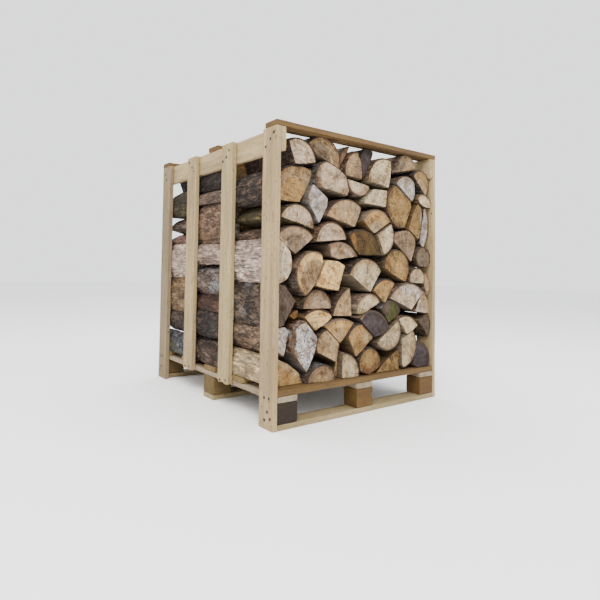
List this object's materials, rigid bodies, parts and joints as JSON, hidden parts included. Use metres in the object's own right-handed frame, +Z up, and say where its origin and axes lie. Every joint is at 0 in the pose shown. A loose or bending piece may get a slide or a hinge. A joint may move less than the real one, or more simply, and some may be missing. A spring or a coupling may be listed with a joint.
{
  "type": "pallet of firewood",
  "caption": "Wooden crate on a pallet foot, open between its side boards and at both ends, filled with rows of stacked split logs.",
  "frame": {"origin": "middle of the crate's footprint, on the floor that the skids and posts stand on", "axes": "+X to the right across the open front, +Y back along the crate's sides, +Z up"},
  "size_m": [0.95, 1.03, 1.142],
  "materials": {
    "crate_board": "rough sawn, bare, pale straw, slightly weathered",
    "deck_board": "rough sawn, bare, ochre",
    "block_wood": "sawn block, bare, brown",
    "split_log": "split faces, sawn ends and rough bark, seasoned"
  },
  "bodies": {
    "root": {"block_back_left": "block_wood", "block_back_middle": "block_wood", "block_back_right": "block_wood", "block_front_left": "block_wood", "block_front_middle": "block_wood", "block_front_right": "block_wood", "block_middle_left": "block_wood", "block_middle_middle": "block_wood", "block_middle_right": "block_wood", "deck_board_1": "deck_board", "deck_board_2": "deck_board", "deck_board_3": "deck_board", "deck_board_4": "deck_board", "deck_board_5": "deck_board", "log_back_01": "split_log", "log_back_02": "split_log", "log_back_04": "split_log", "log_back_05": "split_log", "log_back_06": "split_log", "log_back_08": "split_log", "log_back_09": "split_log", "log_front_01": "split_log", "log_front_02": "split_log", "log_front_03": "split_log", "log_front_04": "split_log", "log_front_05": "split_log", "log_front_06": "split_log", "log_front_07": "split_log", "log_front_08": "split_log", "log_front_09": "split_log", "log_front_10": "split_log", "log_middle_01": "split_log", "log_middle_02": "split_log", "log_middle_04": "split_log", "log_middle_05": "split_log", "log_middle_06": "split_log", "log_middle_08": "split_log", "log_middle_09": "split_log", "logs_back_row": "split_log", "logs_front_row": "split_log", "logs_middle_row": "split_log", "post_left_back": "crate_board", "post_left_front": "crate_board", "post_right_back": "crate_board", "post_right_front": "crate_board", "rail_left": "crate_board", "rail_right": "crate_board", "skid_back": "crate_board", "skid_front": "crate_board", "skid_middle": "crate_board", "slat_left_1": "crate_board", "slat_left_2": "crate_board", "slat_right_1": "crate_board", "slat_right_2": "crate_board", "stringer_left": "crate_board", "stringer_middle": "crate_board", "stringer_right": "crate_board", "top_board_back": "crate_board", "top_board_front": "crate_board", "top_board_middle": "crate_board"}
  },
  "joints": []
}
